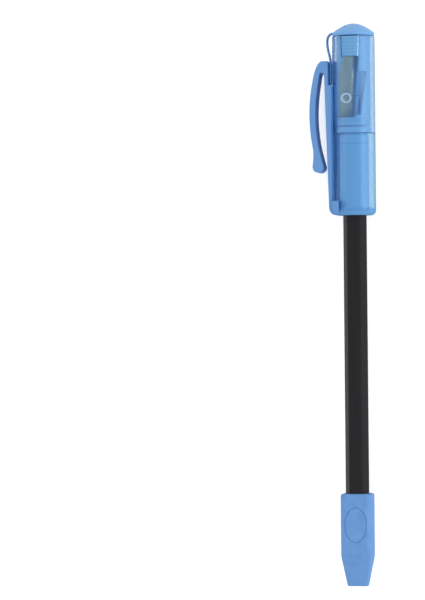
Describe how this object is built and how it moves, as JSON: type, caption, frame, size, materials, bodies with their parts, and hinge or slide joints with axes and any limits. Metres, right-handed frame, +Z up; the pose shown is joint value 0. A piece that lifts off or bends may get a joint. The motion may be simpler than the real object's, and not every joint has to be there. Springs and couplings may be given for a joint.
{
  "type": "pencil with eraser cap and sharpener cap",
  "caption": "Hexagonal lacquered pencil with a chisel eraser on its blunt end and, over its point, a clear blue cap that holds a sharpener, a flip lid on a strap and a pocket clip.",
  "frame": {"origin": "middle of the underside of the whole object as it lies on a table, pencil level and clip to the side", "axes": "+Y along the pencil from the eraser towards the lid, +Z up through the sharpener's ribbed tab, -X towards the pocket clip"},
  "size_m": [0.0212, 0.1844, 0.014],
  "materials": {
    "lacquered_cedar": "black lacquer over cedar",
    "graphite": "burnished graphite",
    "eraser_rubber": "moulded, matt",
    "clear_blue_plastic": "clear, tinted, polished",
    "opaque_blue_plastic": "moulded, half gloss",
    "blade_steel": "ground",
    "screw_steel": "plated"
  },
  "bodies": {
    "pencil": {"barrel_upper_slat": "lacquered_cedar", "barrel_lower_slat": "lacquered_cedar", "graphite_lead": "graphite"},
    "eraser": {"eraser_cap": "eraser_rubber"},
    "cap": {"cap_shell": "clear_blue_plastic", "pencil_sleeve": "opaque_blue_plastic", "sharpener_body": "opaque_blue_plastic", "sharpener_blade": "blade_steel", "blade_screw": "screw_steel", "lid_strap": "opaque_blue_plastic", "clip_spine": "opaque_blue_plastic"},
    "lid": {"lid": "opaque_blue_plastic"},
    "clip_arm": {"clip_arm": "opaque_blue_plastic"}
  },
  "joints": [
    {"name": "cap_pull", "type": "slide", "parent": "pencil", "child": "cap", "axis": [0, 1, 0], "range_m": [0, 0.03]},
    {"name": "eraser_pull", "type": "slide", "parent": "pencil", "child": "eraser", "axis": [0, -1, 0], "range_m": [0, 0.014]},
    {"name": "lid_swing", "type": "hinge", "parent": "cap", "child": "lid", "pos_m": [-0.00485, 0.08607, 0.007], "axis": [0, 0, 1], "range_deg": [0, 115], "deforming": ["lid_strap"]},
    {"name": "clip_flex", "type": "hinge", "parent": "cap", "child": "clip_arm", "pos_m": [-0.00659, 0.07837, 0.007], "axis": [0, 0, -1], "range_deg": [0, 6], "stiffness_Nm_per_rad": 0.3}
  ]
}
